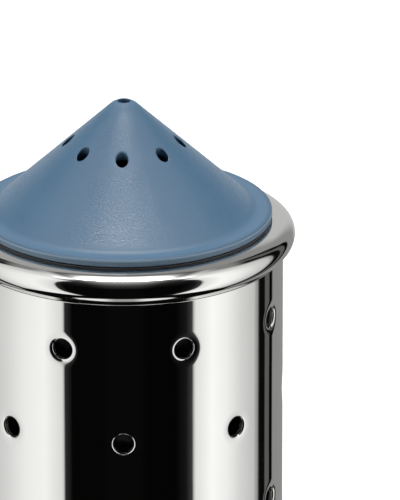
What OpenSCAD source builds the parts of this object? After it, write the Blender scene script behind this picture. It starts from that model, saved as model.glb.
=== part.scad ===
// Salt shaker: a perforated steel jacket around a plastic salt cup, closed by a moulded cone cap.
// Millimetres, +Z up. The origin lies on the axis, in the plane that the foot ring rests on.
// The front, where one hole of every second row and one sprinkle hole lie, faces -Y.

/* [Jacket] */
// Outside diameter of the steel jacket
jacket_d = 51; // [44:0.5:70]
// Thickness of the steel sheet
sheet_t = 0.8; // [0.5:0.1:1.1]

/* [Rim] */
// How far the rolled rim stands out past the jacket
rim_out = 1.9; // [1.2:0.1:3]
// How far the rolled rim reaches in past the inside of the jacket
rim_in = 3; // [2.2:0.1:4]
// Radius of the rim's rounded outer edge
rim_edge_r = 1.9; // [1.5:0.1:2.3]
// Radius of the dome that the outer edge runs into on top
rim_dome_r = 4.5; // [3.5:0.1:6]
// Where the outer edge runs into the dome, in degrees up from the horizontal
rim_shoulder = 52; // [40:1:65]
// Radius of the rounded edge where the dome turns down into the mouth
rim_lip_r = 1.2; // [1.15:0.05:1.6]
// Radius of the fillet between the jacket and the underside of the rim
rim_fillet_r = 1.6; // [0.6:0.1:2]
// How far the rim's inner edge is curled under, in degrees
rim_curl = 40; // [0:5:70]

/* [Perforations] */
// Diameter of the holes in the jacket
hole_d = 3.3; // [2:0.1:5]
// Radius of the rounded lip round each hole
hole_lip_r = 0.4; // [0.2:0.05:0.7]
// Number of holes in each row
holes_per_row = 8; // [4:1:12]
// Number of rows, each one turned half a step from the next
hole_rows = 3; // [1:1:5]
// Height of the lowest row above the table
row_z = 10.5; // [9:0.5:20]
// Distance from one row to the next
row_pitch = 15.5; // [9:0.5:22]
// Distance from the highest row up to the widest circle of the rim
rim_rise = 11.1; // [8:0.1:20]

/* [Cone cap] */
// Slope of the cone, in degrees from the horizontal
cap_slope = 42.7; // [30:0.1:55]
// Thickness of the cone's wall
cap_wall = 1.6; // [1.1:0.1:2.4]
// Width of the brim, from its edge in to where the cone would meet it
brim_w = 2.4; // [2.2:0.05:3.5]
// Thickness of the brim
brim_t = 1.1; // [0.6:0.1:2]
// Radius of the fillet between the cone and the brim
brim_fillet_r = 2; // [1:0.5:4]
// Rounding of the brim's upper edge
brim_edge_r = 0.3; // [0.1:0.05:0.4]
// How far the brim stands out past the collar below it
brim_over = 0.7; // [0:0.05:0.8]
// Radius of the ball that rounds off the cone's tip
tip_ball_r = 3.45; // [2:0.05:5]
// Diameter of the sprinkle holes
sprinkle_d = 2; // [1:0.1:2.5]
// Number of sprinkle holes in the ring, besides the one in the tip
sprinkle_n = 8; // [4:1:12]
// Radius of the ring of sprinkle holes
sprinkle_ring_r = 8.9; // [6:0.1:12]
// Length of the plug below the brim
plug_len = 6; // [4:0.5:10]
// Thickness of the plug's wall behind the seal
plug_wall = 1.1; // [0.8:0.1:2]
// Height of the plug below the seal
seal_land = 0.9; // [0.6:0.1:1.5]

/* [Salt cup] */
// Thickness of the cup's wall
cup_wall = 1.2; // [0.8:0.1:2]
// Thickness of the collar that hangs on the rim
collar_t = 0.45; // [0.4:0.05:1.5]
// How far the collar stands out past its gasket
collar_out = 0.5; // [0:0.1:0.6]
// Height of the cup's floor above and below the grip ring
grip_land = 0.6; // [0.5:0.1:1.5]
// Radius of the fillet between the cup's floor and wall
cup_fillet_r = 2; // [0.5:0.5:4]

/* [Rings] */
// Thickness of the cap seal's cord
seal_cord = 1.3; // [1:0.1:1.8]
// Thickness of the grip ring's cord
grip_cord = 1.4; // [1:0.1:2]
// How far the gasket reaches down from the collar into the rim's mouth
gasket_h = 1.1; // [0.6:0.1:1.6]

/* [Base] */
// Thickness of the base plug's disc
base_t = 1.5; // [1.1:0.1:3]
// Thickness of the base plug's edge below the jacket
base_lip_t = 1; // [0.6:0.1:2]
// How far the base plug's edge lies inside the jacket's surface
base_inset = 0.1; // [0:0.1:0.6]
// Thickness of the base plug's two upright walls
base_wall = 0.9; // [0.6:0.1:1.2]
// Space between the base plug's walls and the lips of the lowest row of holes
base_clear = 1.6; // [0.3:0.1:2]
// Width of the foot ring
foot_w = 2; // [1:0.1:4]
// How far the foot ring stands out below the base
foot_rise = 0.5; // [0.3:0.1:1.5]
// Depth of the groove that holds the foot ring
foot_seat = 0.5; // [0.3:0.1:0.8]
// Distance from the jacket's surface in to the foot ring
foot_edge = 2; // [1:0.1:5]

/* [Fits] */
// Gap all round between the cup and the rim's mouth
cup_gap = 0.3; // [0.2:0.05:0.5]
// Gap all round between the plug and the cup
plug_gap = 0.25; // [0.15:0.05:0.5]
// Gap between a soft ring and the part that slides or turns on it
ring_gap = 0.05; // [0.02:0.01:0.1]
// Gap between faces of moving parts that rest on each other
seat_gap = 0.05; // [0.02:0.01:0.1]
// Gap between the cup and the base plug's disc
floor_gap = 0.6; // [0.3:0.1:2]

/* [Hidden] */
$fn = 96;
front = -90;
arc_step = 12;
overcut = 1;
chamfer = 0.3;

// Jacket and rim, with the rim's heights measured from its widest circle
jacket_r = jacket_d / 2;
jacket_ir = jacket_r - sheet_t;
jacket_z = foot_rise + base_lip_t;
rim_z = row_z + (hole_rows - 1) * row_pitch + rim_rise;
mouth_r = jacket_ir - rim_in;
outer_edge = [jacket_r + rim_out - rim_edge_r, 0];
dome = outer_edge - (rim_dome_r - rim_edge_r) * [cos(rim_shoulder), sin(rim_shoulder)];
lip_reach = rim_dome_r - rim_lip_r;
dome_end = acos((mouth_r + rim_lip_r - dome.x) / lip_reach);
inner_edge = dome + lip_reach * [cos(dome_end), sin(dome_end)];
rim_top_z = rim_z + dome.y + rim_dome_r;
neck_x = jacket_r + rim_fillet_r;
neck = [neck_x, -sqrt((rim_edge_r + rim_fillet_r) ^ 2 - (neck_x - outer_edge.x) ^ 2)];
neck_turn = atan2(-neck.y, outer_edge.x - neck.x);

// Perforations
hole_r = hole_d / 2;
lip_start = 110;
row_step = 360 / holes_per_row;

// Base
base_top_z = foot_rise + base_t;
skirt_top_z = row_z - hole_r - hole_lip_r - base_clear;
socket_r = mouth_r - ring_gap;
skirt_r = jacket_ir - seat_gap;
foot_or = jacket_r - foot_edge;
foot_ir = foot_or - foot_w;

// Salt cup, its gasket and its grip ring
cup_r = mouth_r - cup_gap;
cup_ir = cup_r - cup_wall;
cup_z = base_top_z + floor_gap;
grip_r = socket_r - ring_gap - grip_cord / 2;
grip_z = cup_z + grip_land + grip_cord / 2;
floor_top_z = grip_z + grip_cord / 2 + grip_land;
collar_z = rim_top_z + seat_gap;
collar_top_z = collar_z + collar_t;
gasket_seat_r = rim_lip_r + seat_gap;
gasket_r = inner_edge.x + gasket_seat_r * cos(dome_end);
collar_r = gasket_r + collar_out;

// Cone cap and its seal
brim_z = collar_top_z + seat_gap;
brim_top_z = brim_z + brim_t;
brim_r = collar_r + brim_over;
cone_foot_r = brim_r - brim_w;
apex_z = brim_top_z + cone_foot_r * tan(cap_slope);
apex_inside_z = apex_z - cap_wall / cos(cap_slope);
tip_ball_z = apex_z - tip_ball_r / cos(cap_slope);
plug_r = cup_ir - plug_gap;
plug_z = brim_z - plug_len;
seal_r = cup_ir - ring_gap - seal_cord / 2;
seal_z = plug_z + seal_land + ring_gap + seal_cord / 2;
seal_groove_r = seal_r - seal_cord / 2 - ring_gap;
plug_ir = seal_groove_r - plug_wall;

// Points along an arc about c, from angle a to angle b
function arc(c, r, a, b) =
    let (n = max(2, ceil(abs(b - a) / arc_step)))
    [for (i = [0:n]) let (t = a + (b - a) * i / n) c + r * [cos(t), sin(t)]];

function raised(points, z) = [for (p = points) [p.x, p.y + z]];
function reversed(points) = [for (i = [len(points) - 1:-1:0]) points[i]];

// One face of the sheet, a depth below the outer face, from the jacket's foot to the rim's curl
function sheet_face(depth) = concat(
    [[jacket_r - depth, jacket_z]],
    raised(concat(
        arc(neck, rim_fillet_r + depth, 180, neck_turn),
        arc(outer_edge, rim_edge_r - depth, neck_turn - 180, rim_shoulder),
        arc(dome, rim_dome_r - depth, rim_shoulder, dome_end),
        arc(inner_edge, rim_lip_r - depth, dome_end, 180 + rim_curl)
    ), rim_z)
);

// Tool for one hole along +Z, with the sheet's outer face at z = 0 and a flare past it
module hole_tool() {
    lip = arc([hole_r + hole_lip_r, -hole_lip_r], hole_lip_r, 180, lip_start);
    lip_end = lip[len(lip) - 1];
    flare_r = lip_end.x - (overcut - lip_end.y) * tan(lip_start);
    rotate_extrude()
        polygon(concat(
            [[0, -hole_lip_r - overcut], [hole_r, -hole_lip_r - overcut]],
            lip,
            [[flare_r, overcut], [0, overcut]]
        ));
}

module perforations() {
    for (row = [0:hole_rows - 1])
        for (i = [0:holes_per_row - 1])
            rotate([0, 0, front + row_step * (i + (row % 2 == 0 ? 0.5 : 0))])
                translate([jacket_r, 0, row_z + row * row_pitch])
                    rotate([0, 90, 0])
                        hole_tool();
}

module outer_jacket() {
    color([0.80, 0.80, 0.79])
        difference() {
            rotate_extrude() polygon(concat(sheet_face(0), reversed(sheet_face(sheet_t))));
            perforations();
        }
}

module base_plug() {
    color([0.16, 0.16, 0.17])
        rotate_extrude()
            polygon([
                [0, foot_rise],
                [foot_ir, foot_rise],
                [foot_ir, foot_rise + foot_seat],
                [foot_or, foot_rise + foot_seat],
                [foot_or, foot_rise],
                [jacket_r - base_inset, foot_rise],
                [jacket_r - base_inset, jacket_z],
                [skirt_r, jacket_z],
                [skirt_r, skirt_top_z - chamfer],
                [skirt_r - chamfer, skirt_top_z],
                [skirt_r - base_wall, skirt_top_z],
                [skirt_r - base_wall, base_top_z],
                [socket_r + base_wall, base_top_z],
                [socket_r + base_wall, skirt_top_z],
                [socket_r + chamfer, skirt_top_z],
                [socket_r, skirt_top_z - chamfer],
                [socket_r, base_top_z],
                [0, base_top_z]
            ]);
}

module foot_ring() {
    foot_round = foot_rise / 2;
    color([0.10, 0.10, 0.11])
        rotate_extrude()
            polygon(concat(
                arc([foot_ir + foot_round, foot_round], foot_round, 180, 270),
                arc([foot_or - foot_round, foot_round], foot_round, 270, 360),
                [[foot_or, foot_rise + foot_seat], [foot_ir, foot_rise + foot_seat]]
            ));
}

module salt_cup() {
    groove_r = grip_r - grip_cord / 2;
    color([0.19, 0.19, 0.20])
        rotate_extrude()
            polygon(concat(
                [
                    [0, cup_z],
                    [cup_r - chamfer, cup_z],
                    [cup_r, cup_z + chamfer],
                    [cup_r, grip_z - grip_cord / 2],
                    [groove_r, grip_z - grip_cord / 2],
                    [groove_r, grip_z + grip_cord / 2],
                    [cup_r, grip_z + grip_cord / 2],
                    [cup_r, collar_z],
                    [collar_r, collar_z],
                    [collar_r, collar_top_z],
                    [cup_ir + chamfer, collar_top_z],
                    [cup_ir, collar_top_z - chamfer]
                ],
                arc([cup_ir - cup_fillet_r, floor_top_z + cup_fillet_r], cup_fillet_r, 0, -90),
                [[0, floor_top_z]]
            ));
}

module collar_gasket() {
    gasket_z = collar_z - gasket_h;
    seat_end = 180 - asin((gasket_z - rim_z - inner_edge.y) / gasket_seat_r);
    seat = raised(arc(inner_edge, gasket_seat_r, seat_end, dome_end), rim_z);
    color([0.08, 0.08, 0.09])
        rotate_extrude()
            polygon(concat([[cup_r, collar_z], [cup_r, gasket_z]], seat, [[gasket_r, collar_z]]));
}

module grip_ring() {
    color([0.08, 0.08, 0.09])
        translate([0, 0, grip_z])
            rotate_extrude()
                translate([grip_r, 0])
                    circle(d = grip_cord);
}

module cone_cap() {
    fillet_run = brim_fillet_r * tan(cap_slope / 2);
    groove_half = seal_cord / 2 + ring_gap;
    color([0.43, 0.52, 0.62])
        difference() {
            rotate_extrude()
                polygon(concat(
                    [
                        [plug_ir, plug_z],
                        [plug_r - chamfer, plug_z],
                        [plug_r, plug_z + chamfer],
                        [plug_r, seal_z - groove_half],
                        [seal_groove_r, seal_z - groove_half],
                        [seal_groove_r, seal_z + groove_half],
                        [plug_r, seal_z + groove_half],
                        [plug_r, brim_z],
                        [brim_r, brim_z]
                    ],
                    arc([brim_r - brim_edge_r, brim_top_z - brim_edge_r], brim_edge_r, 0, 90),
                    arc([cone_foot_r + fillet_run, brim_top_z + brim_fillet_r], brim_fillet_r,
                        270, 270 - cap_slope),
                    arc([0, tip_ball_z], tip_ball_r, 90 - cap_slope, 90),
                    [
                        [0, apex_inside_z],
                        [plug_ir, apex_inside_z - plug_ir * tan(cap_slope)]
                    ]
                ));
            sprinkle_h = apex_z - brim_z;
            translate([0, 0, brim_z]) cylinder(d = sprinkle_d, h = sprinkle_h);
            for (i = [0:sprinkle_n - 1])
                rotate([0, 0, front + i * 360 / sprinkle_n])
                    translate([sprinkle_ring_r, 0, brim_z])
                        cylinder(d = sprinkle_d, h = sprinkle_h);
        }
}

module cap_seal() {
    color([0.72, 0.73, 0.74])
        translate([0, 0, seal_z])
            rotate_extrude()
                translate([seal_r, 0])
                    circle(d = seal_cord);
}

outer_jacket();
base_plug();
foot_ring();
salt_cup();
collar_gasket();
grip_ring();
cone_cap();
cap_seal();
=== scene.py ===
# %% [markdown]
# # A salt shaker in mirror steel and slate-blue plastic
# The real shaker has a polished steel jacket with three rows of holes, a dark plastic cup that hangs
# inside it on a collar, and a blue cone cap that plugs into the cup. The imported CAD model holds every
# piece at its real size, so this script loads it as a fixed frame and dresses it. All lengths are in
# metres, and wherever a CAD node's box gives a size, the size is read off the box and not typed again.

# %% Load the frame
import math

import bpy
import numpy as np
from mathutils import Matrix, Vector


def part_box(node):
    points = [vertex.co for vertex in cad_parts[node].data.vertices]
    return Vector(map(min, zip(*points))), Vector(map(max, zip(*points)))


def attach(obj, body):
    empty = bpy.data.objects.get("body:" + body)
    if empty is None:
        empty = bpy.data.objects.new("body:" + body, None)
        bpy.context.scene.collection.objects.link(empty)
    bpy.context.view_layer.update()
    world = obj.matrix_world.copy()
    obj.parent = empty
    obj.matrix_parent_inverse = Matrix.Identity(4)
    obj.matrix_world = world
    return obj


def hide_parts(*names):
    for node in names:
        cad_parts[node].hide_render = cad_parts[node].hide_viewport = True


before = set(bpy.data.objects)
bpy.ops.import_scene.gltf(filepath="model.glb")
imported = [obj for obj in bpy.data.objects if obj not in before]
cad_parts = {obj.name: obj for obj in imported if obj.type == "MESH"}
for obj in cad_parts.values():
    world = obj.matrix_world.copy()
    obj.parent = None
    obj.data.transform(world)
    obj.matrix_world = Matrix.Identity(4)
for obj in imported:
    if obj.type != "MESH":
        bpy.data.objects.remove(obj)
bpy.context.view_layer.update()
MM = 0.001
print("CAD nodes:", sorted(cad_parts))

# %% [markdown]
# ## Sizes that several pieces share
# A rolled rim, a collar and a brim sit on top of each other here, so one piece's top is the next
# one's seat. Reading the corners of each node's box once, under plain names, keeps the pieces in step
# with the CAD. What a box can't tell, such as a wall or a slope, follows below as a named value.

# %% Read the boxes of the nodes
jacket_low, jacket_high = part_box("outer_jacket")
cup_low, cup_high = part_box("salt_cup")
cap_low, cap_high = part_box("cone_cap")
gasket_low, gasket_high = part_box("collar_gasket")
plug_low, plug_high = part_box("base_plug")
foot_low, foot_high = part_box("foot_ring")
grip_low, grip_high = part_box("grip_ring")
seal_low, seal_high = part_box("cap_seal")
RIM_OUT = 1.9 * MM
RIM_EDGE_R = 1.9 * MM
DOME_R = 4.5 * MM
SHOULDER = math.radians(52)
SHEET = 0.8 * MM
JACKET_R = jacket_high.x - RIM_OUT
DOME_Z = jacket_high.z - DOME_R
RIM_Z = DOME_Z + (DOME_R - RIM_EDGE_R) * math.sin(SHOULDER)
FRONT = math.radians(-90)
print(f"jacket radius {JACKET_R / MM:.2f} mm, widest circle of the rim at {RIM_Z / MM:.2f} mm")

# %% [markdown]
# ## Camera
# The photograph looks down at the shaker by about 21 degrees through a long lens, and the shaker
# stands to the left with its foot outside the picture. One known point is enough to place such a
# camera: the middle of the brim's upper edge is at a measured spot in the 400 by 500 picture. The
# camera is moved sideways and down until that spot is right. Lens shift would do it too, but a shift
# would stay behind in every other view.

# %% Camera
IMAGE_W, IMAGE_H = 400, 500
CAMERA_PITCH = math.radians(20.86)
CAMERA_DISTANCE = 1.4
PIXELS_PER_METRE = 6240
SENSOR = 36.0
BRIM_SPOT = (124.2, 209.8)
BRIM_POINT = Vector((0, 0, 56.3 * MM))

look = Vector((0, math.cos(CAMERA_PITCH), -math.sin(CAMERA_PITCH)))
up = Vector((0, math.sin(CAMERA_PITCH), math.cos(CAMERA_PITCH)))
right = Vector((1, 0, 0))
side_step = (IMAGE_W / 2 - BRIM_SPOT[0]) / PIXELS_PER_METRE
rise = (BRIM_SPOT[1] - IMAGE_H / 2) / PIXELS_PER_METRE

camera_data = bpy.data.cameras.new("camera")
camera_data.sensor_width = SENSOR
camera_data.sensor_height = SENSOR
camera_data.sensor_fit = "AUTO"
camera_data.lens = SENSOR * CAMERA_DISTANCE * PIXELS_PER_METRE / IMAGE_H
camera = bpy.data.objects.new("camera", camera_data)
camera.location = BRIM_POINT - look * CAMERA_DISTANCE + right * side_step + up * rise
camera.rotation_euler = (math.pi / 2 - CAMERA_PITCH, 0, 0)
bpy.context.scene.collection.objects.link(camera)
bpy.context.scene.camera = camera
print(f"lens {camera_data.lens:.0f} mm, camera at {[round(v, 3) for v in camera.location]}")

# %% [markdown]
# ## Node sums written as Python
# Shaders and Geometry Nodes are graphs, and wiring sums by hand takes a page for one formula. The
# small class Wire stands for a socket, so that `1 - mask * 0.2` adds the Math nodes by itself. Any
# other node comes from Net.node: its type, its settings, then the values or links of its sockets.

# %% Wire and Net
class Wire:
    """An output socket that takes part in sums."""

    def __init__(self, net, socket):
        self.net = net
        self.socket = socket

    def __add__(self, other):
        return self.net.math("ADD", self, other)

    def __sub__(self, other):
        return self.net.math("SUBTRACT", self, other)

    def __rsub__(self, other):
        return self.net.math("SUBTRACT", other, self)

    def __mul__(self, other):
        return self.net.math("MULTIPLY", self, other)

    def __truediv__(self, other):
        return self.net.math("DIVIDE", self, other)

    def __rtruediv__(self, other):
        return self.net.math("DIVIDE", other, self)

    def __mod__(self, other):
        return self.net.math("FLOORED_MODULO", self, other)

    __radd__ = __add__
    __rmul__ = __mul__

    def also(self, output):
        """Another output of the same node."""
        return Wire(self.net, self.socket.node.outputs[output])


class Net:
    """A node tree that is filled one node at a time."""

    def __init__(self, tree):
        self.tree = tree
        tree.nodes.clear()

    def plug(self, socket, value):
        """Sets a socket to a value, or links one Wire or a list of them to it."""
        for item in value if isinstance(value, list) else [value]:
            if isinstance(item, Wire):
                self.tree.links.new(item.socket, socket)
            else:
                socket.default_value = item

    def node(self, kind, settings, sockets, output=0):
        """Adds a node: settings first, then sockets. A ramp takes stops of place and brightness."""
        made = self.tree.nodes.new(kind)
        for name, value in settings.items():
            if name == "stops":
                ramp = made.color_ramp
                while len(ramp.elements) < len(value):
                    ramp.elements.new(1.0)
                for element, (place, brightness) in zip(ramp.elements, value):
                    element.position = place
                    element.color = grey(brightness)
            else:
                setattr(made, name, value)
        for name, value in sockets.items():
            self.plug(made.inputs[name], value)
        return Wire(self, made.outputs[output]) if made.outputs else made

    def math(self, operation, *values):
        """One Math node, with values or Wires in its sockets."""
        return self.node("ShaderNodeMath", {"operation": operation}, dict(enumerate(values)))

    def remap(self, value, low, high, to_low=0.0, to_high=1.0):
        """A value from low to high becomes one from to_low to to_high, softly, and stays inside."""
        settings = {"interpolation_type": "SMOOTHSTEP"}
        ends = {1: low, 2: high, 3: to_low, 4: to_high}
        return self.node("ShaderNodeMapRange", settings, {0: value, **ends})

    def mix(self, share, first, second, blend="MIX"):
        """Two colours mixed by a share."""
        settings = {"data_type": "RGBA", "blend_type": blend}
        return self.node("ShaderNodeMix", settings, {0: share, 6: first, 7: second}, 2)

    def from_axis(self, place):
        """How far a place is from the Z axis, and how high."""
        flat = self.node("ShaderNodeVectorMath", {"operation": "MULTIPLY"}, {0: place, 1: (1, 1, 0)})
        reach = self.node("ShaderNodeVectorMath", {"operation": "LENGTH"}, {0: flat}, "Value")
        return reach, self.node("ShaderNodeSeparateXYZ", {}, {"Vector": place}, "Z")

    def noise(self, place, per_metre, detail=2.0, rough=0.5):
        """Soft noise from 0 to 1, with so many lumps to the metre."""
        sockets = {"Vector": place, "Scale": per_metre, "Detail": detail, "Roughness": rough}
        return self.node("ShaderNodeTexNoise", {}, sockets)

    def bump(self, height, depth):
        """A bump whose height, from 0 to 1, stands for a real depth in metres."""
        return self.node("ShaderNodeBump", {}, {"Strength": 1.0, "Distance": depth, "Height": height})


def grey(brightness):
    """A neutral linear colour."""
    return (brightness, brightness, brightness, 1)


def linear(red, green, blue):
    """A colour as seen on screen, from 0 to 255, as the linear colour that a shader takes."""
    parts = [v / 255 for v in (red, green, blue)]
    parts = [v / 12.92 if v <= 0.04045 else ((v + 0.055) / 1.055) ** 2.4 for v in parts]
    return (*parts, 1.0)


def new_finish(name):
    """A new material with an empty tree, and the place on the piece that its patterns follow."""
    finish = bpy.data.materials.new(name)
    finish.use_nodes = True
    net = Net(finish.node_tree)
    place = net.node("ShaderNodeTexCoord", {}, {}, "Object")
    return finish, net, place


def lay(net, **sockets):
    """The Principled shader that a finish ends in. Socket names are given with _ for a space."""
    named = {name.replace("_", " "): value for name, value in sockets.items()}
    surface = net.node("ShaderNodeBsdfPrincipled", {}, named)
    net.node("ShaderNodeOutputMaterial", {}, {"Surface": surface})


print("node helpers ready")

# %% [markdown]
# ## Polished steel
# The jacket is stainless steel, polished until it mirrors the studio. A metal with no roughness at
# all looks like a drawing, because real polished sheet keeps a faint haze in patches, fine polishing
# lines and waves about a micron deep. Noise at three sizes gives all of these, and the waves are what
# makes the edges of the reflections waver a little. The inside of the sheet is never polished, so the
# steel is dull there. The distance from the axis tells the inside from the outside, below the rim.

# %% Polished steel
STEEL_WARM = linear(232, 231, 228)
STEEL_COOL = linear(238, 238, 236)
STEEL_WAVE = 1.2e-6
HAZE_PER_METRE = 90
LINES_PER_METRE = 260
WAVES_PER_METRE = 110
LINE_STRETCH = (1, 1, 14)
POLISHED_ROUGH = 0.022
HAZE_SPAN = (0.35, 0.75)
HAZE_ADDS = 0.03
LINES_SPAN = (0.55, 0.75)
LINES_ADD = 0.012
INSIDE_ADDS = 0.4
INSIDE_R = (JACKET_R - 0.4 * MM, JACKET_R - 0.6 * MM)
INSIDE_TOP = (RIM_Z - 4 * MM, RIM_Z - 5 * MM)

polished_steel, net, place = new_finish("polished_steel")
from_axis, height = net.from_axis(place)
haze = net.noise(place, HAZE_PER_METRE, detail=3.0)
stretched = net.node("ShaderNodeMapping", {}, {"Vector": place, "Scale": LINE_STRETCH})
lines = net.noise(stretched, LINES_PER_METRE, detail=3.0, rough=0.6)
waves = net.noise(place, WAVES_PER_METRE, detail=1.0)
tint = net.mix(haze, STEEL_WARM, STEEL_COOL)
on_inside = net.remap(from_axis, *INSIDE_R) * net.remap(height, *INSIDE_TOP)
roughness = POLISHED_ROUGH + HAZE_ADDS * net.remap(haze, *HAZE_SPAN)
roughness = roughness + LINES_ADD * net.remap(lines, *LINES_SPAN) + INSIDE_ADDS * on_inside
lay(net, Base_Color=tint, Metallic=1.0, Roughness=roughness, Normal=net.bump(waves, STEEL_WAVE))
print("finish:", polished_steel.name, len(net.tree.nodes), "nodes")

# %% [markdown]
# ## Blue plastic
# The cap is moulded in slate-blue plastic. The mould was blasted on the cone only, which leaves a fine
# even grain there, so the cone's highlight is broad and breaks up into specks. Painted specks alone
# would be tied to one light, so most of them come from a bump of noise and move with the light. Faint
# flecks of highlight blue in the cone's colour are a painted highlight that helps them. The brim has no
# grain and is duller. Its colour is painted darker towards its edge as painted shade. A pale line
# painted round the edge is a painted highlight, and the side below it is painted a lighter grey as
# painted light bounced from the bright steel bead. The tip is dull too. Distances from the axis and
# from the brim's edge tell these places apart.

# %% Blue plastic
GRAIN = 36e-6
GRAIN_PER_METRE = 5200
CLOUDS_PER_METRE = 120
CONE_END = (20.9 * MM, 19.7 * MM)
TIP_DULL = (3.6 * MM, 2.0 * MM)
BRIM_PAINTED_SHADE = (1.1 * MM, 0.2 * MM)
BRIM_BOUNCE_SIDE = (0.10 * MM, 0.05 * MM)
BRIM_HIGHLIGHT_LINE = (0.12 * MM, 0.06 * MM)
LINE_Z = 56.33 * MM
LINE_FADE = 0.1 * MM
SPECK_SPAN = (0.55, 0.75)
SPECK_HIGHLIGHT_SHARE = 0.2
PAINTED_SHADE_SHARE = 0.4
EDGE_HIGHLIGHT_SHARE = 0.5
ROUGH_SPAN = (0.35, 0.65)
BLUE_SHEEN = 0.8
BRIM_ROUGH = 0.5
CLOUDS_ADD = 0.05
CONE_TAKES = 0.2
TIP_ADDS = 0.3
SPECKS_TAKE = 0.1
LINE_TAKES = 0.05
SLATE_DARK = linear(80, 116, 146)
SLATE_LIGHT = linear(86, 122, 152)
# These four colours are painted light: highlight flecks, shade at the brim's edge, light bounced onto
# the brim's side, and a highlight line on its edge.
SPECK_HIGHLIGHT_BLUE = linear(132, 156, 182)
PAINTED_SHADE_BLUE = linear(48, 72, 92)
SIDE_BOUNCE_GREY = linear(102, 130, 152)
EDGE_HIGHLIGHT_PALE = linear(150, 176, 200)

blue_plastic, net, place = new_finish("blue_plastic")
from_axis, height = net.from_axis(place)
from_edge = cap_high.x - from_axis
grain = net.noise(place, GRAIN_PER_METRE, rough=0.6)
cloud = net.noise(place, CLOUDS_PER_METRE, detail=3.0)
on_cone = net.remap(from_axis, *CONE_END)
at_tip = net.remap(from_axis, *TIP_DULL)
painted_shade_edge = net.remap(from_edge, *BRIM_PAINTED_SHADE) * net.remap(height, LINE_Z, LINE_Z + LINE_FADE)
painted_side_bounce = net.remap(from_edge, *BRIM_BOUNCE_SIDE)
painted_edge_highlight = net.remap(from_edge, *BRIM_HIGHLIGHT_LINE) * net.remap(height, LINE_Z - LINE_FADE, LINE_Z)

base = net.mix(cloud, SLATE_DARK, SLATE_LIGHT)
# Faint lighter flecks on the cone: a painted highlight, beside the specks of the bump.
base = net.mix(SPECK_HIGHLIGHT_SHARE * on_cone * net.remap(grain, *SPECK_SPAN), base, SPECK_HIGHLIGHT_BLUE)
# Darker towards the brim's edge: painted shade, where the rounding turns towards the dark front.
base = net.mix(PAINTED_SHADE_SHARE * painted_shade_edge, base, PAINTED_SHADE_BLUE)
# The brim's side in a lighter grey: painted light bounced from the bright steel bead below.
base = net.mix(painted_side_bounce, base, SIDE_BOUNCE_GREY)
# A pale line round the brim's edge: a painted highlight.
base = net.mix(EDGE_HIGHLIGHT_SHARE * painted_edge_highlight, base, EDGE_HIGHLIGHT_PALE)
specks = on_cone * (net.remap(grain, *ROUGH_SPAN) - 0.5)
roughness = BRIM_ROUGH + CLOUDS_ADD * cloud - CONE_TAKES * on_cone + TIP_ADDS * at_tip
roughness = roughness - SPECKS_TAKE * specks - LINE_TAKES * painted_edge_highlight
relief = net.bump((grain - 0.5) * on_cone + 0.5, GRAIN)
lay(net, Base_Color=base, Roughness=roughness, Specular_IOR_Level=BLUE_SHEEN, Normal=relief)
print("finish:", blue_plastic.name, len(net.tree.nodes), "nodes")

# %% [markdown]
# ## Dark plastic, rubber and silicone
# The cup and the base are dark grey plastic with a satin face, the foot, the gasket and the grip ring
# are matt black rubber, and the cap's seal is pale silicone. These three differ mainly in roughness
# and in the size of their grain, so one function makes all of them from a few named values.

# %% Dark plastic, rubber and silicone
SOFT_CLOUDS_PER_METRE = 160
ROUGH_SPREAD = 0.12


def soft_finish(name, dark, light, dull, grain_per_metre, grain_depth):
    """A moulded finish: two shades in slow clouds, a roughness that follows them, a fine grain."""
    finish, net, place = new_finish(name)
    cloud = net.noise(place, SOFT_CLOUDS_PER_METRE, detail=3.0)
    grain = net.noise(place, grain_per_metre, rough=0.6)
    base = net.mix(cloud, dark, light)
    roughness = dull + ROUGH_SPREAD * (cloud - 0.5)
    lay(net, Base_Color=base, Roughness=roughness, Normal=net.bump(grain, grain_depth))
    print("finish:", name, len(net.tree.nodes), "nodes")
    return finish


dark_plastic = soft_finish(
    "dark_plastic",
    dark=linear(100, 101, 103),
    light=linear(110, 111, 113),
    dull=0.32,
    grain_per_metre=2200,
    grain_depth=4e-6,
)
black_rubber = soft_finish(
    "black_rubber",
    dark=linear(27, 27, 28),
    light=linear(36, 36, 37),
    dull=0.72,
    grain_per_metre=3000,
    grain_depth=8e-6,
)
pale_silicone = soft_finish(
    "pale_silicone",
    dark=linear(198, 200, 202),
    light=linear(212, 213, 214),
    dull=0.55,
    grain_per_metre=2600,
    grain_depth=3e-6,
)

# %% [markdown]
# ## Outlines turned about the axis
# Nearly every piece is round, so each one starts as an outline of (radius, height) points that is
# turned about Z. Blender's Screw modifier would turn it too. Doing it in code closes the poles with
# single points and leaves the faces pointing outwards, as long as the outline climbs on its outer
# side. Moulded and turned edges are never sharp, so a helper rounds the corners of an outline first.

# %% Helpers for outlines
ON_AXIS = 1e-9


def arc(centre, radius, start, stop, step=6.0):
    """Points along an arc, with its angles in degrees."""
    count = max(2, math.ceil(abs(stop - start) / step))
    angles = [math.radians(start + (stop - start) * i / count) for i in range(count + 1)]
    return [(centre[0] + radius * math.cos(a), centre[1] + radius * math.sin(a)) for a in angles]


def soften(corners, step=15.0):
    """Corners (radius, height, rounding) as an outline in which each corner is an arc."""
    outline = []
    for i, (radius, height, rounding) in enumerate(corners):
        here = Vector((radius, height))
        if rounding == 0:
            outline.append(tuple(here))
            continue
        back = (Vector(corners[i - 1][:2]) - here).normalized()
        ahead = (Vector(corners[(i + 1) % len(corners)][:2]) - here).normalized()
        half = back.angle(ahead) / 2
        centre = here + (back + ahead).normalized() * rounding / math.sin(half)
        first = here + back * rounding / math.tan(half) - centre
        last = here + ahead * rounding / math.tan(half) - centre
        start = math.degrees(math.atan2(first.y, first.x))
        turn = math.degrees(math.atan2(last.y, last.x)) - start
        turn = (turn + 180) % 360 - 180
        outline += arc(centre, rounding, start, start + turn, step)
    return outline


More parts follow.
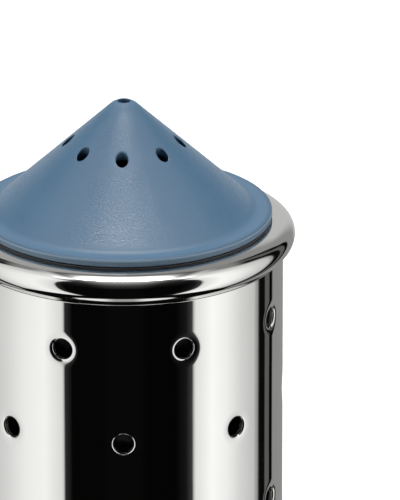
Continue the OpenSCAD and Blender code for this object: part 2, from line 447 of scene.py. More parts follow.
def mesh_object(name, points, faces):
    """A linked object with a new mesh."""
    mesh = bpy.data.meshes.new(name)
    mesh.from_pydata(points, [], faces)
    mesh.update()
    piece = bpy.data.objects.new(name, mesh)
    bpy.context.scene.collection.objects.link(piece)
    return piece


def lathe(name, outlines, around, closed=True, first=0.0):
    """Turns outlines about Z from a first angle. A point on the axis becomes a single pole."""
    points, faces = [], []
    turns = [first + 2 * math.pi * i / around for i in range(around)]
    for outline in outlines:
        rows = []
        for radius, height in outline:
            start = len(points)
            if radius < ON_AXIS:
                points.append((0, 0, height))
                rows.append([start] * around)
            else:
                points += [(radius * math.cos(t), radius * math.sin(t), height) for t in turns]
                rows.append(list(range(start, start + around)))
        for low, high in zip(rows, rows[1:] + (rows[:1] if closed else [])):
            for i in range(around):
                j = (i + 1) % around
                face = list(dict.fromkeys([low[i], low[j], high[j], high[i]]))
                if len(face) > 2:
                    faces.append(face)
    return mesh_object(name, points, faces)


def shade(piece, finish=None, sharp=35.0):
    """Smooth shading that stops at real edges."""
    piece.data.shade_smooth()
    piece.data.set_sharp_from_angle(angle=math.radians(sharp))
    if finish:
        piece.data.materials.append(finish)
    print(f"{piece.name}: {sum(len(p.vertices) - 2 for p in piece.data.polygons)} triangles")


def stands_for(piece, body, node):
    """Puts a finished piece in the place of a CAD node, on that node's body."""
    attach(piece, body)
    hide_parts(node)


print("outline helpers ready")

# %% [markdown]
# ## A ring pattern in Geometry Nodes
# The jacket has 24 like holes and the cone has 8. Cutting them with Boolean modifiers leaves long
# thin triangles, which show as smears in a mirror. Here one cell of wall with its hole is a clean grid,
# and Geometry Nodes repeats it around the axis and in rows, every second row half a step on. The cells
# meet the plain rings above and below point for point, so merging by distance closes the wall.

# %% Ring pattern tree
PATTERN_SOCKETS = [
    ("Cell", "INPUT", "NodeSocketGeometry"),
    ("Plain Rings", "INPUT", "NodeSocketObject"),
    ("Copies", "INPUT", "NodeSocketInt"),
    ("Rows", "INPUT", "NodeSocketInt"),
    ("Lowest Row", "INPUT", "NodeSocketFloat"),
    ("Row Pitch", "INPUT", "NodeSocketFloat"),
    ("First Angle", "INPUT", "NodeSocketFloat"),
    ("Stagger", "INPUT", "NodeSocketFloat"),
    ("Weld", "INPUT", "NodeSocketFloat"),
    ("Finish", "INPUT", "NodeSocketMaterial"),
    ("Wall", "OUTPUT", "NodeSocketGeometry"),
]
ring_pattern = bpy.data.node_groups.new("ring pattern", "GeometryNodeTree")
for title, side, kind in PATTERN_SOCKETS:
    ring_pattern.interface.new_socket(title, in_out=side, socket_type=kind)

net = Net(ring_pattern)
cell = net.node("NodeGroupInput", {}, {}, "Cell")
copies, rows = cell.also("Copies"), cell.also("Rows")
index = net.node("GeometryNodeInputIndex", {}, {})
row = net.math("FLOOR", (index + 0.5) / copies)
column = index - row * copies
height = cell.also("Lowest Row") + row * cell.also("Row Pitch")
half_step = cell.also("Stagger") * ((row + 1) % 2)
turn = cell.also("First Angle") + (column + half_step) * (2 * math.pi / copies)

lift = net.node("ShaderNodeCombineXYZ", {}, {"Z": height})
spin = net.node("ShaderNodeCombineXYZ", {}, {"Z": turn})
spin = net.node("FunctionNodeEulerToRotation", {}, {"Euler": spin})
points = net.node("GeometryNodePoints", {}, {"Count": copies * rows})
points = net.node("GeometryNodeSetPosition", {}, {"Geometry": points, "Offset": lift})
cells = net.node(
    "GeometryNodeInstanceOnPoints", {}, {"Points": points, "Instance": cell, "Rotation": spin}
)
plain = net.node("GeometryNodeObjectInfo", {}, {"Object": cell.also("Plain Rings")}, "Geometry")
wall = net.node("GeometryNodeJoinGeometry", {}, {"Geometry": [cells, plain]})
wall = net.node("GeometryNodeRealizeInstances", {}, {"Geometry": wall})
wall = net.node(
    "GeometryNodeMergeByDistance", {}, {"Geometry": wall, "Distance": cell.also("Weld")}
)
wall = net.node(
    "GeometryNodeSetMaterial", {}, {"Geometry": wall, "Material": cell.also("Finish")}
)
net.node("NodeGroupOutput", {}, {"Wall": wall})
print("ring pattern:", len(ring_pattern.nodes), "nodes")

# %% [markdown]
# ## Cells that fit the pattern
# A cell is a patch of wall with a hole in it. Its mesh is a stack of closed rings with the same number
# of points, from the straight border through the round edge of the hole to the border of the back, so
# all of its faces have four sides. The pattern is run as a modifier on the cell. Its result is copied
# to a plain mesh, because only a plain mesh can be handed over, and the helpers are then removed.

# %% Helpers for cells
WELD = 2e-6


def cell_border(across, up):
    """Points round the square from -1 to 1, anticlockwise from its lower left corner."""
    low = [(-1 + 2 * i / across, -1) for i in range(across)]
    right_side = [(1, -1 + 2 * i / up) for i in range(up)]
    return low + right_side + [(-a, 1) for a, _ in low] + [(-1, -b) for _, b in right_side]


def bridge(name, rings):
    """A mesh between closed rings of points, from the outermost ring to the last."""
    count = len(rings[0])
    faces = []
    for k in range(len(rings) - 1):
        for i in range(count):
            j = (i + 1) % count
            here, there = k * count, (k + 1) * count
            faces.append((here + i, here + j, there + j, there + i))
    return mesh_object(name, [p for ring in rings for p in ring], faces)


def repeat_cell(name, cell_piece, plain_piece, finish, **sizes):
    """Runs the ring pattern on a cell and keeps its result as a plain mesh."""
    pattern = cell_piece.modifiers.new("ring pattern", "NODES")
    pattern.node_group = ring_pattern
    values = {"Plain Rings": plain_piece, "Weld": WELD, "Finish": finish}
    values.update({key.replace("_", " "): value for key, value in sizes.items()})
    for item in ring_pattern.interface.items_tree:
        if item.name in values:
            pattern[item.identifier] = values[item.name]
    graph = bpy.context.evaluated_depsgraph_get()
    mesh = bpy.data.meshes.new_from_object(cell_piece.evaluated_get(graph))
    cell_piece.modifiers.remove(pattern)
    mesh.name = name
    piece = bpy.data.objects.new(name, mesh)
    bpy.context.scene.collection.objects.link(piece)
    for spare in (cell_piece, plain_piece):
        bpy.data.objects.remove(spare)
    return piece


print("cell helpers ready")

# %% [markdown]
# ## One cell of the jacket
# Punching pulls the steel sheet inwards round each hole, so the mirror sinks into a very shallow dish
# and then turns over a small lip before the hole opens. The dish is less than a tenth of a millimetre
# deep, but it is what bends the reflections round the holes. The cell is an eighth of the jacket's
# girth wide and one row high. Its rings go from the cell's border into the dish, over the lip, down
# the cut edge and back along the inside of the sheet. They are laid flat first and then rolled onto
# the jacket.

# %% Jacket cell
HOLES = 8
ROWS = 3
LOWEST_ROW = 10.5 * MM
ROW_PITCH = 15.5 * MM
HOLE_R = 1.65 * MM
LIP_R = 0.4 * MM
DISH_R = 3.5 * MM
DISH_TILT = math.radians(7)
DISH_POWER = 1.6
DISH_STEPS = 9
BURR = 0.06 * MM
LIP_STEP = 12
FRONT_SHARES = (1, 0.7, 0.45, 0.22)
BACK_SHARES = (0.5, 1)
CELL_ACROSS = 24
CELL_UP = 16
JACKET_AROUND = HOLES * CELL_ACROSS

half_width = math.pi * JACKET_R / HOLES
half_height = ROW_PITCH / 2
lip_start = HOLE_R + LIP_R * (1 - math.sin(DISH_TILT))
border = [(a * half_width, b * half_height) for a, b in cell_border(CELL_ACROSS, CELL_UP)]
heading = [math.atan2(v, u) for u, v in border]


def rolled(u, v, depth):
    """A point of the flat sheet, a depth below its face, on the jacket."""
    radius = JACKET_R - depth
    return (radius * math.cos(u / JACKET_R), radius * math.sin(u / JACKET_R), v)


def flat_ring(share, depth):
    """A ring between the dish, where share is 0, and the cell's border, where share is 1."""
    ring = []
    for (u, v), angle in zip(border, heading):
        x = DISH_R * math.cos(angle) * (1 - share) + u * share
        y = DISH_R * math.sin(angle) * (1 - share) + v * share
        ring.append(rolled(x, y, depth))
    return ring


def round_ring(radius, depth):
    """A round ring about the hole's middle."""
    return [rolled(radius * math.cos(a), radius * math.sin(a), depth) for a in heading]


def dish_depth(radius):
    """How deep the dish is at a distance from the hole's middle: its slope dies out as a power."""
    run = DISH_R - lip_start
    share = max(0.0, (DISH_R - radius) / run)
    return math.tan(DISH_TILT) * run / (DISH_POWER + 1) * share ** (DISH_POWER + 1)


dish = [DISH_R + (lip_start - DISH_R) * i / DISH_STEPS for i in range(DISH_STEPS)]
lip_middle = (HOLE_R + LIP_R, dish_depth(lip_start) + LIP_R * math.cos(DISH_TILT))
lip = arc(lip_middle, LIP_R, 270 - math.degrees(DISH_TILT), 180, LIP_STEP)
cut_end = SHEET + dish_depth(HOLE_R)
cut_edge = [(HOLE_R, cut_end - BURR), (HOLE_R + BURR, cut_end)]
dish_back = [(radius, SHEET + dish_depth(radius)) for radius in dish[::-2]]
jacket_rings = [flat_ring(share, 0) for share in FRONT_SHARES]
jacket_rings += [round_ring(radius, dish_depth(radius)) for radius in dish]
jacket_rings += [round_ring(radius, depth) for radius, depth in lip + cut_edge + dish_back]
jacket_rings += [flat_ring(share, SHEET) for share in BACK_SHARES]
jacket_cell = bridge("jacket_cell", jacket_rings)
print(f"jacket cell: {len(jacket_rings)} rings of {len(border)} points")
print(f"dish: {dish_depth(lip_start) / MM:.3f} mm deep")

# %% [markdown]
# ## Rolled rim and foot of the jacket
# At the top the sheet turns out of the tube over a tight crease, runs along a straight underside, and
# is rolled over a wide dome and down into the mouth, which makes the thick bright bead under the cap.
# The outline is a chain of arcs and one straight line that share their tangents, because a mirror
# shows every kink. The underside is the line that touches both the crease and the roll. The inside of
# the sheet is out of sight, so it is a plainer chain with a fillet, one thickness deeper. The foot is
# a plain strip with a rounded edge.

# %% Plain rings of the jacket
RIM_IN = 3.0 * MM
FILLET_R = 1.6 * MM
MOUTH_EDGE_R = 1.2 * MM
RIM_CURL = 40.0
ROLL_R = 2.59 * MM
CREASE_R = 0.32 * MM
CREASE_DROP = 3.0 * MM
FOOT_ROUND = 0.25 * MM
ROLL_STEP = 3
MIRROR_STEP = 4
BACK_STEP = 10

outer_edge = (JACKET_R + RIM_OUT - RIM_EDGE_R, RIM_Z)
dome = (outer_edge[0] - (DOME_R - RIM_EDGE_R) * math.cos(SHOULDER), DOME_Z)
mouth_x = JACKET_R - SHEET - RIM_IN + MOUTH_EDGE_R
dome_end = math.acos((mouth_x - dome[0]) / (DOME_R - MOUTH_EDGE_R))
inner_edge = (mouth_x, DOME_Z + (DOME_R - MOUTH_EDGE_R) * math.sin(dome_end))
neck_x = JACKET_R + FILLET_R
neck_drop = math.sqrt((RIM_EDGE_R + FILLET_R) ** 2 - (neck_x - outer_edge[0]) ** 2)
neck = (neck_x, RIM_Z - neck_drop)
neck_turn = math.degrees(math.atan2(neck_drop, outer_edge[0] - neck_x))
roll = Vector((jacket_high.x - ROLL_R, RIM_Z))
crease = Vector((JACKET_R + CREASE_R, RIM_Z - CREASE_DROP))
apart = crease - roll
underside = math.acos((ROLL_R + CREASE_R) / apart.length) + math.atan2(apart.y, apart.x)
underside = math.degrees(underside)


def rim_top(depth, start, step):
    """The rim's outline from its outer edge to the mouth, a depth below the outer face."""
    shoulder, turn = math.degrees(SHOULDER), math.degrees(dome_end)
    return (
        arc(outer_edge, RIM_EDGE_R - depth, start, shoulder, step)
        + arc(dome, DOME_R - depth, shoulder, turn, step)[1:]
        + arc(inner_edge, MOUTH_EDGE_R - depth, turn, 180 + RIM_CURL, 2 * step)[1:]
    )


band_low = LOWEST_ROW - half_height
band_high = LOWEST_ROW + (ROWS - 1) * ROW_PITCH + half_height
inner_r = JACKET_R - SHEET
rim_outline = [(JACKET_R, band_high)]
rim_outline += arc(crease, CREASE_R, 180, 180 + underside, MIRROR_STEP)
rim_outline += arc(roll, ROLL_R, underside, 0, ROLL_STEP)
rim_outline += rim_top(0, 0, MIRROR_STEP)[1:]
rim_outline += rim_top(SHEET, neck_turn - 180, BACK_STEP)[::-1]
rim_outline += arc(neck, FILLET_R + SHEET, neck_turn, 180, BACK_STEP)[1:]
rim_outline += [(inner_r, band_high)]
strip_outline = soften(
    [
        (inner_r, band_low, 0),
        (inner_r, jacket_low.z, FOOT_ROUND),
        (JACKET_R, jacket_low.z, FOOT_ROUND),
        (JACKET_R, band_low, 0),
    ]
)
jacket_plain = lathe("jacket_plain", [rim_outline, strip_outline], JACKET_AROUND, closed=False)
print(f"rim: {len(rim_outline)} points from {band_high / MM:.2f} mm up")

# %% [markdown]
# ## The jacket put together
# The real jacket is one piece of sheet, so the cells, the rim and the foot strip become one mesh. The
# pattern lays three rows of eight cells with a hole of the middle row at the front, and welds them to
# the plain rings. A weld distance of two microns is far below the spacing of the points.

# %% Steel jacket
steel_jacket = repeat_cell(
    "steel_jacket",
    jacket_cell,
    jacket_plain,
    polished_steel,
    Copies=HOLES,
    Rows=ROWS,
    Lowest_Row=LOWEST_ROW,
    Row_Pitch=ROW_PITCH,
    First_Angle=FRONT,
    Stagger=0.5,
)
shade(steel_jacket)

# %% [markdown]
# ## True normals on the mirror
# A smooth-shaded mesh guesses its normals from its faces, and next to a hole the guess is a little
# off, which a mirror shows as a dent. On the plain part of the jacket the true normal is known: it
# points straight out from the axis. Setting it there as a custom normal makes the reflections run
# dead straight between the holes.

# %% Custom normals on the plain cylinder
mesh = steel_jacket.data
place_of = np.array([v.co for v in mesh.vertices])
corner_vertex = np.array([loop.vertex_index for loop in mesh.loops])
normals = np.array([n.vector for n in mesh.corner_normals])
radius = np.hypot(place_of[:, 0], place_of[:, 1])
upright = (place_of[:, 2] > jacket_low.z + FOOT_ROUND - WELD) & (place_of[:, 2] < crease.y + WELD)
on_outside = upright & (abs(radius - JACKET_R) < WELD)
true_normal = np.stack([place_of[:, 0], place_of[:, 1], 0 * radius], axis=1) / radius[:, None]
chosen = on_outside[corner_vertex]
normals[chosen] = true_normal[corner_vertex][chosen]
mesh.normals_split_custom_set(normals.tolist())
stands_for(steel_jacket, "jacket", "outer_jacket")
print(f"{on_outside.sum()} of {len(place_of)} points carry the true normal")

# %% [markdown]
# ## One cell of the cone cap
# The cap is one moulding: a cone with eight sprinkle holes and one in its ball-shaped tip, a brim that
# covers the collar, and a plug that goes down into the cup. The holes run straight down, as the mould
# opens, so they look long on the slope, and they widen inwards, as the mould's pins leave them. The
# band of the cone with the eight holes is again one cell with its hole, drawn in plan and lifted onto
# the slope.

# %% Cap cell
SPRINKLE_N = 8
SPRINKLE_R = 1.0 * MM
SPRINKLE_RING = 8.9 * MM
SPRINKLE_EDGE = 0.15 * MM
SPRINKLE_DRAFT = 0.6 * MM
CAP_SLOPE = math.radians(42.7)
CAP_WALL = 1.6 * MM
TIP_BALL = 3.45 * MM
BAND = (5.6 * MM, 12.2 * MM)
FACE_SHARES = (1, 0.75, 0.5, 0.3, 0.14, 0.05)
UNDER_SHARES = (0.14, 0.5, 1)
EDGE_STEP = 18
CAP_ACROSS = 12
CAP_UP = 20
CAP_AROUND = SPRINKLE_N * CAP_UP
CAP_TURN = math.radians(-1.6)

ball_z = cap_high.z - math.sqrt(TIP_BALL ** 2 - SPRINKLE_R ** 2)
apex_z = ball_z + TIP_BALL / math.cos(CAP_SLOPE)
band_middle = (BAND[0] + BAND[1]) / 2
band_reach = (BAND[1] - BAND[0]) / 2
cap_border = [
    (band_middle + a * band_reach, b * math.pi / SPRINKLE_N)
    for a, b in cell_border(CAP_ACROSS, CAP_UP)
]
cap_heading = [math.atan2(r * math.sin(t), r * math.cos(t) - SPRINKLE_RING) for r, t in cap_border]


def cone_z(radius, depth=0.0):
    """Height of the cone's face at a radius, or of a face below it."""
    return apex_z - radius * math.tan(CAP_SLOPE) - depth / math.cos(CAP_SLOPE)


def cap_ring(share, hole_r, depth, drop=0.0):
    """A ring between the hole and the cell's border, on the cone's face or a depth below it."""
    ring = []
    for (border_r, border_t), angle in zip(cap_border, cap_heading):
        x = SPRINKLE_RING + hole_r * math.cos(angle)
        y = hole_r * math.sin(angle)
        r = math.hypot(x, y) * (1 - share) + border_r * share
        t = math.atan2(y, x) * (1 - share) + border_t * share
        ring.append((r * math.cos(t), r * math.sin(t), cone_z(r, depth) - drop))
    return ring


top_r = SPRINKLE_R + SPRINKLE_EDGE
under_r = top_r + SPRINKLE_DRAFT
edge_round = arc((top_r, SPRINKLE_EDGE), SPRINKLE_EDGE, 270, 180, EDGE_STEP)
under_round = [(hole_r + SPRINKLE_DRAFT, -drop) for hole_r, drop in edge_round[::-1]]
cap_rings = [cap_ring(share, top_r, 0) for share in FACE_SHARES]
cap_rings += [cap_ring(0, hole_r, 0, drop) for hole_r, drop in edge_round]
cap_rings += [cap_ring(0, hole_r, CAP_WALL, drop) for hole_r, drop in under_round]
cap_rings += [cap_ring(share, under_r, CAP_WALL) for share in UNDER_SHARES]
cap_cell = bridge("cap_cell", cap_rings)
print(f"cap cell: {len(cap_rings)} rings of {len(cap_border)} points")

# %% [markdown]
# ## Brim, plug and tip of the cap
# Below the band of holes the cone runs over a fillet into the flat brim, under it and down the plug,
# which has a groove for its seal. A low lip under the brim's edge leaves a dark line between the brim
# and the collar. Above the band the cone meets the ball of the tip at a tangent. Both stretches are
# outlines turned about the axis, in the same steps as the cells and from the same first angle, or the
# points would not meet.

# %% Plain rings of the cap
BRIM_H = 1.1 * MM
BRIM_W = 2.4 * MM
BRIM_FILLET = 2.0 * MM
BRIM_EDGE = 0.4 * MM
BRIM_UNDER_EDGE = 0.1 * MM
BRIM_LIP_W = 0.85 * MM
BRIM_LIP_H = 0.07 * MM
BRIM_LIP_EDGE = 0.03 * MM
TIP_EDGE = 0.15 * MM
PLUG_LENGTH = 6.0 * MM
PLUG_R = 19.95 * MM
PLUG_BORE = 17.7 * MM
PLUG_FILLET = 1.0 * MM
MOULD_EDGE = 0.3 * MM
SEAL_GROOVE_R = 18.8 * MM
SEAL_GAP = 0.05 * MM
GROOVE_EDGE = 0.08 * MM
GROOVE_FILLET = 0.15 * MM
SKIRT_STEP = 9
BALL_STEP = 3
TIP_STEP = 15

brim_z = cap_low.z + PLUG_LENGTH
brim_top = brim_z + BRIM_H
brim_r = cap_high.x
lip_low = brim_z - BRIM_LIP_H
groove_low = seal_low.z - SEAL_GAP
groove_high = seal_high.z + SEAL_GAP
skirt_outline = soften(
    [
        (BAND[1], cone_z(BAND[1], CAP_WALL), 0),
        (PLUG_BORE, cone_z(PLUG_BORE, CAP_WALL), PLUG_FILLET),
        (PLUG_BORE, cap_low.z, MOULD_EDGE),
        (PLUG_R, cap_low.z, MOULD_EDGE),
        (PLUG_R, groove_low, GROOVE_EDGE),
        (SEAL_GROOVE_R, groove_low, GROOVE_FILLET),
        (SEAL_GROOVE_R, groove_high, GROOVE_FILLET),
        (PLUG_R, groove_high, GROOVE_EDGE),
        (PLUG_R, brim_z, BRIM_UNDER_EDGE),
        (brim_r - BRIM_LIP_W, brim_z, BRIM_LIP_EDGE),
        (brim_r - BRIM_LIP_W, lip_low, BRIM_LIP_EDGE),
        (brim_r, lip_low, BRIM_UNDER_EDGE),
        (brim_r, brim_top, BRIM_EDGE),
        (brim_r - BRIM_W, brim_top, BRIM_FILLET),
        (BAND[1], cone_z(BAND[1]), 0),
    ],
    step=SKIRT_STEP,
)
tip_x = SPRINKLE_R + TIP_EDGE
tip_turn = math.degrees(math.acos(tip_x / (TIP_BALL - TIP_EDGE)))
tip_z = ball_z + (TIP_BALL - TIP_EDGE) * math.sin(math.radians(tip_turn))
tip_outline = [(BAND[0], cone_z(BAND[0]))]
tip_outline += arc((0, ball_z), TIP_BALL, 90 - math.degrees(CAP_SLOPE), tip_turn, BALL_STEP)
tip_outline += arc((tip_x, tip_z), TIP_EDGE, tip_turn, 180, TIP_STEP)[1:]
tip_outline += [(radius, cone_z(radius, CAP_WALL)) for radius in (SPRINKLE_R, BAND[0])]
cap_outlines = [skirt_outline, tip_outline]
cap_plain = lathe("cap_plain", cap_outlines, CAP_AROUND, closed=False, first=CAP_TURN)
print(f"cap: brim at {brim_z / MM:.2f} mm, {len(skirt_outline)} points below the band")

# %% [markdown]
# ## The cap put together
# The same ring pattern serves the cap, with a single row of eight cells. The photograph shows the cap
# turned a little on its plug, so its first hole is 1.6 degrees off the front.

# %% Blue cap
blue_cap = repeat_cell(
    "blue_cap",
    cap_cell,
    cap_plain,
    blue_plastic,
    Copies=SPRINKLE_N,
    Rows=1,
    Lowest_Row=0.0,
    Row_Pitch=0.0,
    First_Angle=FRONT + CAP_TURN,
    Stagger=0.0,
)
shade(blue_cap)
stands_for(blue_cap, "cap", "cone_cap")

# %% [markdown]
# ## Salt cup
# The cup holds the salt and hangs on the steel rim by its thin collar, in the dark gap under the blue
# brim, and its wall is what is seen through the jacket's holes. The collar is stepped: its low outer
# ledge fills the gap with a dark ring. A groove near the cup's foot takes the grip ring, and a dimple
# under its floor is where the mould was filled. A single outline gives all of it, with the rounding
# that a mould leaves.

# %% Salt cup
CUP_R = 21.4 * MM
CUP_BORE = 20.2 * MM
CUP_FLOOR = 5.2 * MM
CUP_FILLET = 2.0 * MM
CUP_DIMPLE = 0.25 * MM
CUP_DIMPLE_R = (1.2 * MM, 1.6 * MM)
COLLAR_H = 0.45 * MM
COLLAR_R = 23.6 * MM
COLLAR_STEP = 0.3 * MM
COLLAR_LEDGE = 1.0 * MM
STEP_EDGE = 0.05 * MM
FINE_EDGE = 0.06 * MM
SMALL_EDGE = 0.1 * MM
GRIP_CORD = 1.4 * MM
ROUND = 96


def gate_dimple(low, depth, radii, rounding):
    """The dimple in the middle of a moulding's underside, from the axis outwards."""
    return [(0, low + depth, 0), (radii[0], low + depth, rounding), (radii[1], low, rounding)]


collar_z = cup_high.z - COLLAR_H
ledge_z = cup_high.z - COLLAR_STEP
ledge_r = COLLAR_R - COLLAR_LEDGE
grip_groove = grip_high.x - GRIP_CORD
cup_outline = soften(
    gate_dimple(cup_low.z, CUP_DIMPLE, CUP_DIMPLE_R, SMALL_EDGE)
    + [
        (CUP_R, cup_low.z, MOULD_EDGE),
        (CUP_R, grip_low.z, FINE_EDGE),
        (grip_groove, grip_low.z, SMALL_EDGE),
        (grip_groove, grip_high.z, SMALL_EDGE),
        (CUP_R, grip_high.z, FINE_EDGE),
        (CUP_R, collar_z, SMALL_EDGE),
        (COLLAR_R, collar_z, FINE_EDGE),
        (COLLAR_R, ledge_z, STEP_EDGE),
        (ledge_r, ledge_z, STEP_EDGE),
        (ledge_r, cup_high.z, SMALL_EDGE),
        (CUP_BORE, cup_high.z, MOULD_EDGE),
        (CUP_BORE, CUP_FLOOR, CUP_FILLET),
        (0, CUP_FLOOR, 0),
    ]
)
salt_cup_piece = lathe("salt_cup_moulding", [cup_outline], 2 * ROUND)
shade(salt_cup_piece, dark_plastic)
stands_for(salt_cup_piece, "cup", "salt_cup")

# %% [markdown]
# ## Soft rings
# Three rubber or silicone rings keep the pieces from rattling: a gasket under the collar, a grip ring
# round the cup's foot and a seal on the cap's plug. The last two are round cords. The gasket follows
# the curve of the rim's inner edge, so its outline ends in an arc about that edge.

# %% Soft rings
GASKET_GAP = 0.05 * MM
CORD_SHARP = 60
CORD_STEP = 15


def cord_ring(name, low, high, cord, finish):
    """A round cord laid in a ring, which fills a node's box."""
    centre = (high.x - cord / 2, (low.z + high.z) / 2)
    ring = lathe(name, [arc(centre, cord / 2, 0, 360 - CORD_STEP, CORD_STEP)], ROUND)
    shade(ring, finish, CORD_SHARP)
    return ring


grip_piece = cord_ring("cup_grip_ring", grip_low, grip_high, GRIP_CORD, black_rubber)
stands_for(grip_piece, "cup", "grip_ring")
seal_cord = seal_high.z - seal_low.z
seal_piece = cord_ring("plug_seal_ring", seal_low, seal_high, seal_cord, pale_silicone)
stands_for(seal_piece, "seal", "cap_seal")

seat_r = MOUTH_EDGE_R + GASKET_GAP
seat_end = 180 - math.degrees(math.asin((gasket_low.z - inner_edge[1]) / seat_r))
gasket_outline = [(CUP_R, gasket_high.z), (CUP_R, gasket_low.z)]
gasket_outline += arc(inner_edge, seat_r, seat_end, math.degrees(dome_end))
gasket_outline += [(gasket_high.x, gasket_high.z)]
gasket_piece = lathe("collar_gasket_ring", [gasket_outline], 2 * ROUND)
shade(gasket_piece, black_rubber)
stands_for(gasket_piece, "cup", "collar_gasket")

# %% [markdown]
# ## Base plug and foot ring
# The underside is closed by a plastic plug with two upright walls, one inside the jacket and one
# round the foot of the cup, and a rubber ring in a groove keeps the shaker from sliding. Neither is in
# the photograph, so both stay plain, with a moulding's usual dimple in the middle of the disc.

# %% Base plug and foot ring
BASE_WALL = 0.9 * MM
SOCKET_R = 21.65 * MM
SKIRT_R = 24.65 * MM
BASE_TOP = 2.0 * MM
BASE_DIMPLE = 0.4 * MM
BASE_DIMPLE_R = (2.2 * MM, 2.8 * MM)
DIMPLE_EDGE = 0.2 * MM
BASE_EDGE = 0.15 * MM
FOOT_INNER_R = 21.5 * MM
FOOT_EDGE = 0.25 * MM

plug_outline = soften(
    gate_dimple(plug_low.z, BASE_DIMPLE, BASE_DIMPLE_R, DIMPLE_EDGE)
    + [
        (FOOT_INNER_R, plug_low.z, BASE_EDGE),
        (FOOT_INNER_R, foot_high.z, BASE_EDGE),
        (foot_high.x, foot_high.z, BASE_EDGE),
        (foot_high.x, plug_low.z, BASE_EDGE),
        (plug_high.x, plug_low.z, MOULD_EDGE),
        (plug_high.x, jacket_low.z, BASE_EDGE),
        (SKIRT_R, jacket_low.z, BASE_EDGE),
        (SKIRT_R, plug_high.z, MOULD_EDGE),
        (SKIRT_R - BASE_WALL, plug_high.z, BASE_EDGE),
        (SKIRT_R - BASE_WALL, BASE_TOP, MOULD_EDGE),
        (SOCKET_R + BASE_WALL, BASE_TOP, MOULD_EDGE),
        (SOCKET_R + BASE_WALL, plug_high.z, BASE_EDGE),
        (SOCKET_R, plug_high.z, MOULD_EDGE),
        (SOCKET_R, BASE_TOP, MOULD_EDGE),
        (0, BASE_TOP, 0),
    ]
)
base_piece = lathe("base_plug_moulding", [plug_outline], 2 * ROUND)
shade(base_piece, dark_plastic)
stands_for(base_piece, "jacket", "base_plug")

foot_outline = soften(
    [
        (FOOT_INNER_R, foot_low.z, FOOT_EDGE),
        (foot_high.x, foot_low.z, FOOT_EDGE),
        (foot_high.x, foot_high.z, SMALL_EDGE),
        (FOOT_INNER_R, foot_high.z, SMALL_EDGE),
    ]
)
foot_piece = lathe("foot_ring_moulding", [foot_outline], 2 * ROUND)
shade(foot_piece, black_rubber)
stands_for(foot_piece, "jacket", "foot_ring")

# %% [markdown]
# ## Floor
# The shaker stands on a plain pale floor. For the camera the floor is as white as the background, so
# that no horizon shows, but it keeps the shaker's soft shadow: the shader adds a little glow for camera
# rays only. Mirrors don't see the floor, because the real one reflects the panels of a studio that go
# down past the table's edge.

# %% Floor
FLOOR_R = 3.0
FLOOR_Z = -20e-6
FLOOR_GLOW = 0.5
FLOOR_CLOUDS_PER_METRE = 30
PAPER_DARK = linear(226, 226, 226)
PAPER_LIGHT = linear(229, 229, 229)

floor_finish, net, place = new_finish("floor")
paper = net.mix(net.noise(place, FLOOR_CLOUDS_PER_METRE), PAPER_DARK, PAPER_LIGHT)
matt = net.node("ShaderNodeBsdfDiffuse", {}, {"Color": paper})
seen = net.node("ShaderNodeLightPath", {}, {}, "Is Camera Ray")
glow = net.node("ShaderNodeEmission", {}, {"Color": grey(1), "Strength": FLOOR_GLOW * seen})
both = net.node("ShaderNodeAddShader", {}, {0: matt, 1: glow})
net.node("ShaderNodeOutputMaterial", {}, {"Surface": both})
floor = lathe("floor", [[(FLOOR_R, FLOOR_Z), (0, FLOOR_Z)]], ROUND, closed=False)
floor.data.materials.append(floor_finish)
floor.visible_glossy = False
print("floor radius", FLOOR_R, "m")

# %% [markdown]
# ## Studio: upright panels
# A mirror is only as good as what it reflects. In the photograph the steel shows a dark front, where
# the camera stands, tall white panels to the left and right of it, and narrow dark and grey bands
# further round. A picture of a studio would do as the world, but one that is drawn by direction needs
# no file. A ramp over the angle from the front gives the panels, each stop being an angle in degrees
# and a brightness. Higher up the panels lean a little, low down they close in, and a grey wall stands
# straight behind the shaker.

# %% Upright panels
PANELS = [
    (-137, 0.40), (-136, 0.004), (-130, 0.004), (-129, 0.07), (-124, 0.07), (-123, 0.004),
    (-115, 0.004), (-114, 0.64), (-95, 0.78), (-77.6, 0.98), (-60, 1.07), (-47.2, 0.85),
    (-45.2, 0.80), (-43.9, 0.03), (-38, 0.002), (38, 0.0015), (46.1, 0.009), (51.0, 0.055),
    (52.6, 0.86), (67, 1.15), (80, 1.03), (93.9, 0.78), (110.2, 0.60), (111.6, 0.38),
    (114.2, 0.36), (115.6, 0.004), (124, 0.004), (125, 0.115), (131, 0.115), (132.2, 0.002),
    (136.8, 0.002), (138, 0.29),
]
LEAN = math.radians(6.5)
LEAN_FROM = -0.34
CLOSE = math.radians(45)
CLOSE_FROM = -0.4
WALL_SIDE = (math.radians(30), math.radians(17))
WALL_LOW = (-0.32, -0.26)
WALL_HIGH = (0.6, 0.45)
WALL_GREY = grey(0.56)

world = bpy.data.worlds.new("studio")
world.use_nodes = True
bpy.context.scene.world = world
net = Net(world.node_tree)
toward = net.node("ShaderNodeTexCoord", {}, {}, "Generated")
x = net.node("ShaderNodeSeparateXYZ", {}, {"Vector": toward}, "X")
y, z = x.also("Y"), x.also("Z")
aside = net.math("ABSOLUTE", x)
lean = net.math("MAXIMUM", z - LEAN_FROM, 0)
close = net.math("MAXIMUM", CLOSE_FROM - z, 0)
shift = close * close * CLOSE - lean * lean * LEAN
azimuth = net.math("ARCTAN2", x, 0 - y) + net.math("SIGN", x) * shift
stops = [((degrees + 180) / 360, brightness) for degrees, brightness in PANELS]
light = net.node("ShaderNodeValToRGB", {"stops": stops}, {"Fac": azimuth / (2 * math.pi) + 0.5})
behind = net.remap(net.math("ARCTAN2", aside, y), *WALL_SIDE)
behind = behind * net.remap(z, *WALL_LOW) * net.remap(z, *WALL_HIGH)
light = net.mix(behind, light, WALL_GREY)
print("panels:", len(PANELS), "stops round the horizon")

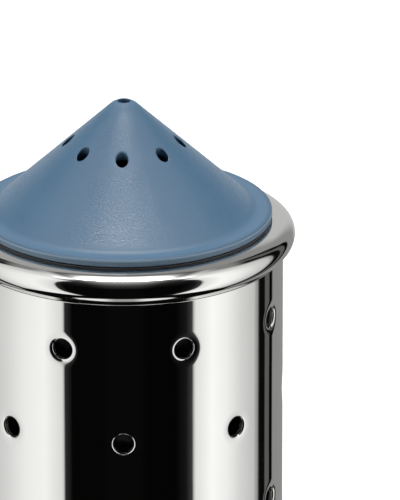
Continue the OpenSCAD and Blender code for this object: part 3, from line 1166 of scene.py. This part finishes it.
# %% [markdown]
# ## Studio: ceiling and soft box
# The rim and the cap also look up. Overhead the studio is dark, with a thin veil of light that grows
# towards the zenith, two lighter patches at the rear sides, and a soft box that reaches from overhead
# to the rear, whose near edge is by far the hottest. Dividing a direction by its height gives a place
# on a flat ceiling, which is where the box and the patches are drawn. The box lights the blue cone too.

# %% Ceiling and soft box
VEIL = [
    (0.25, 0.003), (0.57, 0.03), (0.707, 0.05), (0.82, 0.11), (0.906, 0.19), (0.966, 0.33), (1.0, 0.6),
]
VEIL_SIDE = (0.12, 0.38, 1, 0.25)
CEILING_FROM = (0.84, 0.90)
LOWEST = 0.02
REAR_ASIDE = (0.26, 0.40)
REAR_AHEAD = (-0.2, 0.0)
REAR_LOW = (0.70, 0.80, 0, 0.25)
REAR_HIGH = (0.83, 0.90, 0, 0.3)
BOX_DEPTH = [
    (0.43, 0.0), (0.48, 0.01), (0.53, 1.0), (0.58, 0.5), (0.64, 0.2), (0.77, 0.04), (0.94, 0.0),
]
BOX_MIDDLE = (0.08, 0.32, 1, 0.15)
BOX_SIDE = (0.5, 0.38)
BOX_LIGHT = grey(60)
DARK = grey(0.003)

ceiling_z = net.math("MAXIMUM", z, LOWEST)
ceiling_x, ceiling_y = aside / ceiling_z, y / ceiling_z
rear = net.remap(ceiling_x, *REAR_ASIDE) * net.remap(ceiling_y, *REAR_AHEAD)
light = net.mix(net.remap(z, *CEILING_FROM) * (1 - rear), light, DARK)
veil = net.node("ShaderNodeValToRGB", {"stops": VEIL}, {"Fac": z}) * net.remap(aside, *VEIL_SIDE)
patches = (net.remap(z, *REAR_LOW) + net.remap(z, *REAR_HIGH)) * rear
light = net.mix(1.0, light, net.math("MAXIMUM", veil, patches), "LIGHTEN")

box = net.node("ShaderNodeValToRGB", {"stops": BOX_DEPTH}, {"Fac": ceiling_y + 0.5})
box_middle = net.remap(ceiling_x, *BOX_MIDDLE)
box = box * box_middle * box_middle * net.remap(ceiling_x, *BOX_SIDE)
light = net.mix(box, light, BOX_LIGHT)
print("ceiling: veil of", len(VEIL), "stops, soft box of", len(BOX_DEPTH))

# %% [markdown]
# ## Studio: table and background
# The underside of the rim looks down. It shows a dark ring round the table's edge and then the table
# itself, which is lighter to the sides. The camera sees none of this: a Light Path node gives it plain
# white, so the background is white without putting any more light on the shaker.

# %% Table and background
RING_FROM = (-0.80, -0.83)
TABLE_FROM = (-0.955, -0.967)
TABLE_ASIDE = (0.05, 0.15)
TABLE_MIDDLE = grey(0.40)
TABLE_SIDE = grey(0.95)

light = net.mix(net.remap(z, *RING_FROM), light, DARK)
table = net.mix(net.remap(aside, *TABLE_ASIDE), TABLE_MIDDLE, TABLE_SIDE)
light = net.mix(net.remap(z, *TABLE_FROM), light, table)
studio = net.node("ShaderNodeBackground", {}, {"Color": light, "Strength": 1.0})
white = net.node("ShaderNodeBackground", {}, {"Color": grey(1), "Strength": 1.0})
seen = net.node("ShaderNodeLightPath", {}, {}, "Is Camera Ray")
view = net.node("ShaderNodeMixShader", {}, {0: seen, 1: studio, 2: white})
net.node("ShaderNodeOutputWorld", {}, {"Surface": view})
bpy.context.scene.view_settings.view_transform = "Standard"
print("studio:", len(net.tree.nodes), "nodes")
